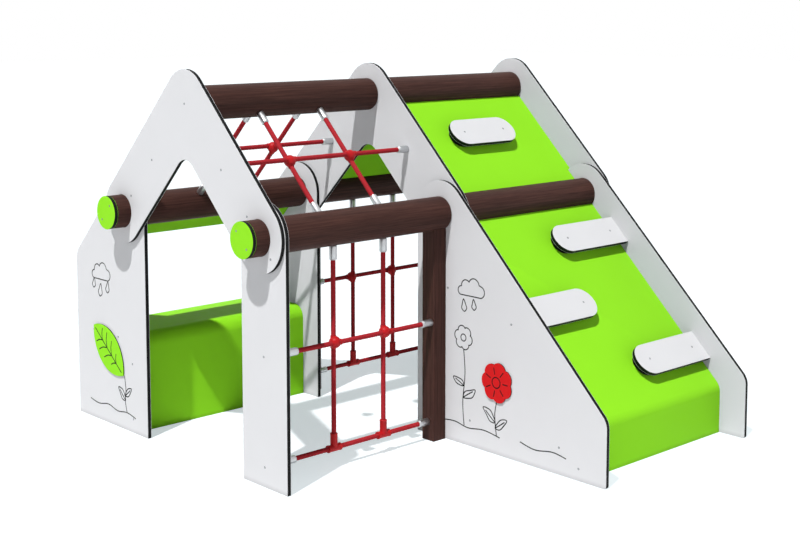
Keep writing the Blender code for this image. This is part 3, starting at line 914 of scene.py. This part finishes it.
def fitTee(node, foot):  # foot: where the upright meets the low rope's axis
    look = teeLook
    top, rim, lip, bead = look["neckTop"], look["rim"], look["lip"], look["bead"]
    neck = [(0.0, look["neck"]), (top - rim, look["neck"]), (top - rim * 0.8, bead),
            (top - rim * 0.2, bead), (top, bead - lip)]
    made = place(turnedMesh(node + "_tee", neck, look["around"]), [redPolyamide],
                 along(foot, foot + zAxis))
    half = look["length"] / 2
    arm = bothWays([(half - look["flange"] - look["slant"], look["waist"]),
                    (half - look["flange"], bead), (half - lip, bead), (half, bead - lip)])
    joinAndBore(made, arm, look["around"], look["bore"], ((foot, xAxis),))


def makeWallNet(label):
    turns = ropeLook["turns"]
    low = fitCrossing(label + "_wall_low_rope", turns["low"])
    cross = fitCrossing(label + "_wall_cross_rope", turns["cross"])
    for number in (1, 2):
        node = f"{label}_wall_rope_{number}"
        x, top = middle(node).x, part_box(node)[1].z
        foot = Vector((x, low.y, low.z))
        ropeEnd = foot + zAxis * (teeLook["neckTop"] - teeLook["ropeEnd"])
        fitRope(node, Vector((x, low.y, top)), ropeEnd, number * turns["upright"], lastSleeve=False)
        fitTee(node, foot)
        fitBall(f"{label}_wall_ball_{number}", (Vector((x, low.y, cross.z)), zAxis),
                (Vector((x, cross.y, cross.z)), xAxis))


def makeRoofNet(label, side):
    turns = ropeLook["turns"]
    crossing = fitCrossing(label + "_roof_cross_rope", turns["roofCross"])
    inHouse = slopeMatrix(side).inverted() @ crossing
    distance = side * inHouse.y
    for number in (1, 2):
        node = f"{label}_roof_rope_{number}"
        x = middle(node).x
        top, foot = onSlope(side, x, logClear), onSlope(side, x, slopeLength - logClear)
        fitRope(node, top, foot, number * turns["slope"])
        fitBall(f"{label}_roof_ball_{number}",
                (onSlope(side, x, distance), (foot - top).normalized()),
                (onSlope(side, x, distance, inHouse.z), xAxis))


# Screws: six-lobe lens heads let into the boards, each with a thin dark line round it
screwLook = {"head": 0.0043, "sink": 0.0046, "dome": 0.0008, "recess": 0.0020, "depth": 0.0011,
             "lobe": 0.17, "around": 36, "rim": (0.00018, 0.0001), "rimStep": 0.0002,
             "proud": 0.00002, "turn": 0.7}


def screwHead():
    look, around = screwLook, screwLook["around"]
    head, dome, recess = look["head"], look["dome"], look["recess"]
    floor = dome - look["depth"]
    rows = [(look["sink"], 0.0), (head + look["rimStep"], look["rim"][0]), (head, look["rim"][1]),
            (head * 0.96, dome * 0.45), (head * 0.82, dome * 0.8), (recess * 1.35, dome)]
    lobed = [(recess, dome * 0.98), (recess * 0.93, floor)]
    verts = [(a, b, h) for r, h in rows for a, b in circle((0.0, 0.0), r, steps=around)]
    for r, h in lobed:
        for i in range(around):
            angle = math.tau * i / around
            verts.append(polar(r * (1 + look["lobe"] * math.cos(6 * angle)), angle) + (h,))
    verts.append((0.0, 0.0, floor))
    faces = tube(len(rows) + len(lobed), around)
    last, tip = len(verts) - 1 - around, len(verts) - 1
    faces += [(last + i, last + (i + 1) % around, tip) for i in range(around)]
    return verts, faces, [1] * around + [0] * (len(faces) - around)


def makeScrews(name, spots):  # one piece holds the screws of one board
    headVerts, headFaces, headIndices = screwHead()
    verts, faces, indices = [], [], []
    for number, (point, normal) in enumerate(spots):
        first = len(verts)
        turn = Matrix.Rotation(number * screwLook["turn"], 4, "Z")
        turned = along(point, point + Vector(normal)) @ turn
        verts += [turned @ Vector(v) for v in headVerts]
        faces += [tuple(first + i for i in face) for face in headFaces]
        indices += headIndices
    place(meshFrom(name, verts, faces, indices), [stainless, blackCore])
    return len(spots)


# Screw places in millimetres: y across from the centreline, z up; on the holds, x along the house
slope, ridge = slopeLength * 1000, house["ridgeZ"] * 1000
gableScrews = [(0, ridge)]
for side in (near, far):
    for distance in (340, slope - 101, slope + 101):
        gableScrews.append((side * distance * math.cos(pitch), ridge - distance * math.sin(pitch)))
screwPlaces = {
    "front_gable": (-1, gableScrews), "middle_gable": (1, gableScrews),
    "rear_gable": (1, gableScrews),
    "front_near_leg": (-1, [(-473, 78), (-473, 504)]),
    "front_far_panel": (-1, [(449, 60), (449, 300), (560, 399), (760, 399)]),
    "middle_ramp_panel": (-1, [(-520, 647), (-878, 551), (-1232, 48), (-651, 109), (-1133, 108)]),
    "rear_ramp_panel": (1, [(-520, 647), (-878, 551), (-1232, 48), (-1232, 150), (-700, 731)]),
    "middle_far_panel": (1, [(600, 399), (760, 399)]),
    "rear_far_leg": (1, [(473, 78), (473, 504)]),
}
holdScrews = {"upper": (1316, 1565), "second": (1504, 1794), "third": (1053, 1343),
              "fourth": (1503, 1797)}


def makeAllScrews():
    total, proud = 0, screwLook["proud"]
    for node, (outward, places) in screwPlaces.items():
        low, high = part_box(node)
        x = (low.x if outward < 0 else high.x) + outward * proud
        spots = [(Vector((x, at(0, y, z).y, at(0, y, z).z)), (outward, 0, 0)) for y, z in places]
        total += makeScrews(node + "_screws", spots)
    for node, (outward, lean) in capLook["caps"].items():
        low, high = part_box(node)
        centre, offset = middle(node), capLook["screwOffset"]
        x = (high.x if outward < 0 else low.x) + outward * (capLook["thickness"] + proud)
        spots = [(Vector((x, centre.y + turn * lean * offset, centre.z + turn * offset)),
                  (outward, 0, 0)) for turn in (1, -1)]
        total += makeScrews(node + "_screws", spots)
    height = house["board"] / 2 + 2 * house["gap"] + holdLook["spacer"] + holdLook["plate"] + proud
    outwards = slopeMatrix(near).to_3x3() @ zAxis
    for name, places in holdScrews.items():
        distance, width = holdPlace(name)
        spots = [(onSlope(near, at(x, 0, 0).x, distance, height), outwards) for x in places]
        total += makeScrews(name + "_hold_screws", spots)
    print("screws made:", total)


# Play plates: a green leaf and a red flower stand proud of the boards
plateLook = {"edge": 0.0012, "skin": 0.0014,
             "leafLength": 0.300, "leafWidth": 0.166, "leafLean": 38.0,
             "flowerRadius": 0.078, "petalDepth": 0.011, "petals": 7, "petalSteps": 24,
             "petalPoint": 0.7}  # below 1 the petals are rounder


def leafOutline():
    half, bulge = plateLook["leafLength"] / 2, plateLook["leafWidth"] / 2
    radius = (half * half + bulge * bulge) / (2 * bulge)
    spread, drop = math.asin(half / radius), radius - bulge
    upper = arc((0, -drop), radius, rightAngle - spread, rightAngle + spread)
    lower = arc((0, drop), radius, -rightAngle - spread, -rightAngle + spread)
    return [rotated(point, plateLook["leafLean"]) for point in upper + lower[1:-1]]


def petalOutline(radius, depth, petals, petalSteps):
    angles = [math.tau * i / (petals * petalSteps) for i in range(petals * petalSteps)]
    swells = [abs(math.cos(petals * angle / 2)) ** plateLook["petalPoint"] - 0.5
              for angle in angles]
    return [polar(radius + depth * swell, angle) for swell, angle in zip(swells, angles)]


def makePlates():
    flower = petalOutline(plateLook["flowerRadius"], plateLook["petalDepth"], plateLook["petals"],
                          plateLook["petalSteps"])
    plates = {"leaf_plate": (leafOutline(), greenSkin, "green_board"),
              "flower_plate": (flower, redSkin, "red_board")}
    for node, (outline, skin, slot) in plates.items():
        low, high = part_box(node)
        thickness = high.x - low.x
        across, up = zip(*outline)
        outline = moved(outline, (low.y + high.y) / 2 - house["centreY"]
                        - (min(across) + max(across)) / 2,
                        (low.z + high.z) / 2 - (min(up) + max(up)) / 2)
        layers = [(thickness - plateLook["skin"], 1), (thickness, 0)]
        mesh = cutSheet(node + "_board", [mirrored(outline)], thickness, plateLook["edge"], layers)
        # The outline is mirrored because the plate's face looks towards -x
        flip = boardMatrix(high.x) @ Matrix.Rotation(math.pi, 4, "Y")
        place(mesh, [skin, blackCore], flip, [node])
    print("play plates made:", len(plates))


# Line drawings: routed a little way into the sheet, so that the black core shows as a thin line
lineLook = {"width": 0.0046, "proud": 0.00015, "sunk": 0.0002, "mitre": 1.6, "steps": 7}


def smoothLine(points, closed=False):  # curve through the points, and whether it closes
    count, line = len(points), []
    for i in range(count if closed else count - 1):
        if closed:
            p0, p1, p2, p3 = (points[(i + k - 1) % count] for k in range(4))
        else:
            p0, p1, p2, p3 = (points[min(max(i + k - 1, 0), count - 1)] for k in range(4))
        for step in range(lineLook["steps"]):
            t = step / lineLook["steps"]
            line.append(tuple(0.5 * (2 * b + (c - a) * t + (2 * a - 5 * b + 4 * c - d) * t * t
                                     + (3 * b - a - 3 * c + d) * t ** 3)
                              for a, b, c, d in zip(p0, p1, p2, p3)))
    return (line if closed else line + [points[-1]]), closed


def lineMesh(name, lines, x):  # lines: (points in millimetres across and up, closed)
    shape = bmesh.new()
    half = lineLook["width"] / 2
    back, front = x + lineLook["sunk"], x - lineLook["proud"]  # the drawn faces look towards -x
    for points, closed in lines:
        spots = [Vector((a / 1000, b / 1000)) for a, b in points]
        rows = []
        for i, spot in enumerate(spots):
            before = spots[i - 1] if closed or i else spot
            after = spots[(i + 1) % len(spots)] if closed or i < len(spots) - 1 else spot
            sides = [Vector((-way.y, way.x)).normalized() for way in (spot - before, after - spot)
                     if way.length > 1e-9]
            across = sum(sides, Vector((0, 0))).normalized()
            across *= half * min(1 / max(across.dot(sides[0]), 0.1), lineLook["mitre"])
            left, right = spot + across, spot - across
            corners = ((left, back), (left, front), (right, front), (right, back))
            rows.append([shape.verts.new((h, house["centreY"] + corner.x, corner.y))
                         for corner, h in corners])
        for first, second in zip(rows, rows[1:] + rows[:1] if closed else rows[1:]):
            for k in range(4):
                shape.faces.new((first[k], first[(k + 1) % 4], second[(k + 1) % 4], second[k]))
        if not closed:
            shape.faces.new(rows[0])
            shape.faces.new(rows[-1])
    bmesh.ops.recalc_face_normals(shape, faces=shape.faces)
    mesh = bpy.data.meshes.new(name)
    shape.to_mesh(mesh)
    shape.free()
    return mesh


def leafLine(length, width, bend):  # outline and midrib of a small leaf
    outline = [(0, 0), (0.25 * length, 0.42 * width), (0.6 * length, 0.46 * width + bend),
               (length, bend), (0.65 * length, -0.36 * width + bend),
               (0.28 * length, -0.40 * width)]
    midrib = [(0, 0), (0.4 * length, bend * 0.3), (0.8 * length, bend * 0.8)]
    return [smoothLine(outline, True), smoothLine(midrib)]


def cloudLine(width):  # puffs: middle, radius, and the degrees that show
    puffs = ((-0.34, 0.10, 0.16, 95, 262), (-0.10, 0.24, 0.20, 25, 168),
             (0.20, 0.20, 0.17, -5, 128), (0.38, 0.06, 0.12, -92, 82))
    outline = []
    for a, b, radius, first, last in reversed(puffs):
        outline += arc((a * width, b * width), radius * width, math.radians(first),
                       math.radians(last))[::4]
    return [(outline, True)]


def dropLine(size):
    return [smoothLine([(0, size), (0.26 * size, 0.42 * size), (0.34 * size, 0.08 * size),
                        (0, -0.22 * size), (-0.34 * size, 0.08 * size),
                        (-0.26 * size, 0.42 * size)], True)]


def petalLine(radius, depth, petals):
    return [(petalOutline(radius, depth, petals, 12), True),
            (circle((0, 0), radius * 0.32, steps=20), True)]


def put(lines, a, b, degrees=0.0):
    return [(moved(points, a, b, degrees), closed) for points, closed in lines]


def plateCentre(node):  # millimetres across and up
    centre = middle(node)
    return (centre.y - house["centreY"]) * 1000, centre.z * 1000


def leafVeins():
    veins = [([(-132, 0), (132, 0)], False)]
    for start, reach in ((-80, 34), (-35, 52), (12, 54), (58, 42)):
        for side in (1, -1):
            veins.append(smoothLine([(start, 0), (start + reach * 0.45, side * reach * 0.42),
                                     (start + reach * 0.75, side * reach)]))
    return veins


def flowerHeart():  # a ring, and a short line into each petal
    heart = [(circle((0, 0), 22, steps=32), True)]
    for i in range(plateLook["petals"]):
        angle = math.tau * (i + 0.5) / plateLook["petals"]
        heart.append(([polar(radius, angle) for radius in (34, 48, 62)], False))
    return heart


def leafScene(y, z):  # a stem with two small leaves, a rolling ground line, a cloud with drops
    tipY, tipZ = rotated((-150, 0), plateLook["leafLean"])
    lines = [smoothLine([(y + tipY, z + tipZ), (y - 128, z - 150), (y - 122, z - 205),
                         (y - 134, z - 252)])]
    lines += put(leafLine(72, 34, 6), y - 123, z - 200, 38)
    lines += put(leafLine(60, 30, -5), y - 124, z - 178, 148)
    lines.append(smoothLine([(430, 66), (500, 78), (575, 70), (650, 84), (730, 72), (800, 82)]))
    lines += put(cloudLine(150), 690, 640)
    for dropY, dropZ, size in ((640, 588, 40), (700, 566, 46), (752, 596, 36)):
        lines += put(dropLine(size), dropY, dropZ, 8)
    return lines


def flowerScene(y, z):  # its stem and leaves, a tall line flower, a cloud with drops, the ground
    lines = [smoothLine([(y + 2, z - 80), (y + 12, z - 140), (y + 2, z - 222)])]
    lines += put(leafLine(84, 36, 8), y + 10, z - 168, 32)
    lines += put(leafLine(76, 34, -8), y + 9, z - 190, 152)
    lines += put(petalLine(46, 10, 6), -612, 452, 12)
    lines.append(smoothLine([(-614, 402), (-622, 300), (-610, 180), (-618, 82)]))
    lines += put(leafLine(80, 36, 8), -613, 200, 142)
    lines += put(leafLine(66, 32, -6), -615, 250, 30)
    lines += put(cloudLine(150), -655, 640)
    lines += put(dropLine(42), -616, 572, -6)
    lines += put(dropLine(36), -672, 584, -6)
    lines.append(smoothLine([(-470, 78), (-560, 88), (-640, 76), (-730, 86), (-820, 74)]))
    lines.append(smoothLine([(-930, 84), (-1010, 70), (-1100, 82), (-1170, 72)]))
    return lines


def makeDrawings():
    leaf, flower = plateCentre("leaf_plate"), plateCentre("flower_plate")
    drawings = {"leaf_plate_veins": ("leaf_plate", put(leafVeins(), *leaf, plateLook["leafLean"])),
                "flower_plate_lines": ("flower_plate", put(flowerHeart(), *flower)),
                "far_panel_drawing": ("front_far_panel", leafScene(*leaf)),
                "ramp_panel_drawing": ("middle_ramp_panel", flowerScene(*flower))}
    for name, (node, lines) in drawings.items():
        place(lineMesh(name, lines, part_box(node)[0].x), [blackCore])
    print("drawings made:", len(drawings))


makeBoards()
makeSheets()
makeHolds()
makeCaps()
makeLogs()
makePosts()
makeWallNet("near")
makeWallNet("far")
makeRoofNet("near", near)
makeRoofNet("far", far)
print("nets made: 4")
makeAllScrews()
makePlates()
makeDrawings()


# Floor, light and camera
stageLook = {
    "floor": "#EAEBEC", "reach": 40.0,
    "shadeLine": 0.25, "shadeReach": (0.30, 1.40),  # the shade thins out on both sides of this line
    "inner": "#DEE1E3", "outer": "#939596",  # the camera's floor, by the line and away from it
    "lift": (0.53, 0.90), "tint": "#F3FCFF",
    "glow": 0.42,  # added where the gloss of the pieces shows the floor
    "sky": [(0.0, "#BEC0C2"), (0.7, "#343638")],  # its light on the object, from the horizon up
    "fill": 1.4,  # how much brighter the sky is opposite the sun
    "sunLevel": 0.94, "sunAngle": 1.2,
    "sunWay": (0.44, 0.16, -0.885),  # the way the sunlight travels
}


def floorPaint():  # plain for the light it throws, another for the camera
    made, tree, where = newMaterial("pale studio floor")
    ray = addNode(tree, "LightPath")
    seen, glossy = ray.outputs["Is Camera Ray"], ray.outputs["Is Glossy Ray"]
    spot = addNode(tree, "SeparateXYZ", {}, {0: where})
    # Painted shade for the camera: by this line the floor's colour is darker and its glow weaker,
    # so the shade is deeper there than away from it
    line = house["centreY"] + stageLook["shadeLine"]
    offset = addNode(tree, "Math", {"operation": "SUBTRACT", 1: line}, {0: spot.outputs["Y"]})
    distance = addNode(tree, "Math", {"operation": "ABSOLUTE"}, {0: offset})
    start, stop = stageLook["shadeReach"]
    away = addNode(tree, "MapRange", {"interpolation_type": "SMOOTHSTEP", "From Min": start,
                                      "From Max": stop}, {"Value": distance})
    shown = addNode(tree, "Mix", {"data_type": "RGBA", 6: stageLook["inner"],
                                  7: stageLook["outer"]}, {0: away})
    colour = addNode(tree, "Mix", {"data_type": "RGBA", 6: stageLook["floor"]}, {0: seen, 7: shown})
    paint = addNode(tree, "BsdfDiffuse", {}, {"Color": colour})
    low, high = stageLook["lift"]
    lift = addNode(tree, "Math", {"operation": "MULTIPLY_ADD", 1: high - low, 2: low}, {0: away})
    lift = addNode(tree, "Math", {"operation": "MULTIPLY"}, {0: lift, 1: seen})
    level = addNode(tree, "Math", {"operation": "MULTIPLY_ADD", 1: stageLook["glow"]},
                    {0: glossy, 2: lift})
    glow = addNode(tree, "Emission", {"Color": stageLook["tint"]}, {"Strength": level})
    addNode(tree, "OutputMaterial", {},
            {"Surface": addNode(tree, "AddShader", {}, {0: paint, 1: glow})})
    return made


def makeFloor():
    reach = stageLook["reach"]
    corners = [(-reach, -reach, 0), (reach, -reach, 0), (reach, reach, 0), (-reach, reach, 0)]
    mesh = meshFrom("floor", corners, [(0, 1, 2, 3)])
    mesh.materials.append(floorPaint())
    floor = bpy.data.objects.new("floor", mesh)
    bpy.context.scene.collection.objects.link(floor)
    return floor


def allBut(name, pieces):  # light linking group of everything but these pieces
    group = bpy.data.collections.new(name)
    for piece in pieces:
        group.objects.link(piece)
    for entry in group.collection_objects:
        entry.light_linking.link_state = "EXCLUDE"
    return group


def makeSky():
    world = bpy.data.worlds.new("soft white sky")
    world.use_nodes = True
    tree = world.node_tree
    tree.nodes.clear()
    ray = addNode(tree, "LightPath")
    sight = addNode(tree, "TexCoord").outputs["Generated"]
    way = addNode(tree, "SeparateXYZ", {}, {0: sight})
    fade = addNode(tree, "ValToRGB", {"stops": stageLook["sky"]}, {"Fac": way.outputs["Z"]})
    away = Vector(stageLook["sunWay"][:2] + (0,)).normalized()
    facingAway = addNode(tree, "VectorMath", {"operation": "DOT_PRODUCT", 1: away}, {0: sight})
    part = addNode(tree, "Math", {"operation": "MAXIMUM", 1: 0.0}, {0: facingAway})
    level = addNode(tree, "Math", {"operation": "MULTIPLY_ADD", 1: stageLook["fill"], 2: 1.0},
                    {0: part})
    sky = addNode(tree, "Background", {}, {"Color": fade, "Strength": level})
    backdrop = addNode(tree, "Background", {"Color": "#FFFFFF", "Strength": 1.0})
    direct = addNode(tree, "Math", {"operation": "MAXIMUM"},
                     {0: ray.outputs["Is Camera Ray"], 1: ray.outputs["Is Transmission Ray"]})
    seen = addNode(tree, "Math", {"operation": "MAXIMUM"},
                   {0: direct, 1: ray.outputs["Is Glossy Ray"]})
    mixed = addNode(tree, "MixShader", {}, {0: seen, 1: sky, 2: backdrop})
    addNode(tree, "OutputWorld", {}, {"Surface": mixed})
    bpy.context.scene.world = world


def makeSuns(floor):
    lamp = bpy.data.lights.new("sun", "SUN")
    lamp.energy = math.pi * stageLook["sunLevel"]
    lamp.angle = math.radians(stageLook["sunAngle"])
    suns = [bpy.data.objects.new(name, lamp) for name in ("sun", "floor_sun")]
    for sun in suns:
        sun.rotation_euler = Vector(stageLook["sunWay"]).to_track_quat("-Z", "Y").to_euler()
        bpy.context.scene.collection.objects.link(sun)
    # The photo's bright floor loses the thin, soft shadows of the higher ropes
    suns[0].light_linking.receiver_collection = allBut("everything but the floor", [floor])
    suns[1].light_linking.receiver_collection = bpy.data.collections.new("floor alone")
    suns[1].light_linking.receiver_collection.objects.link(floor)
    suns[1].light_linking.blocker_collection = allBut("everything but the higher ropes", thinPieces)


# Near eye height; the lens is shifted down for the upright lines, and the camera tilts for the rest
shot = {"x": -3034.4, "y": -4521.2, "z": 1791.9, "turn": 42.798, "tilt": 5.948, "lens": 61.905,
        "shift": -0.14, "film": 36.0, "reach": 200.0}


def makeCamera():
    data = bpy.data.cameras.new("camera")
    data.lens = shot["lens"]
    data.sensor_width = shot["film"]
    data.sensor_fit = "HORIZONTAL"
    data.shift_y = shot["shift"]
    data.clip_end = shot["reach"]
    camera = bpy.data.objects.new("camera", data)
    camera.location = at(shot["x"], shot["y"], shot["z"])
    camera.rotation_euler = (rightAngle - math.radians(shot["tilt"]), 0,
                             -math.radians(shot["turn"]))
    bpy.context.scene.collection.objects.link(camera)
    bpy.context.scene.camera = camera


makeSky()
makeSuns(makeFloor())
makeCamera()
bpy.context.scene.view_settings.view_transform = "Standard"
print("stage made")
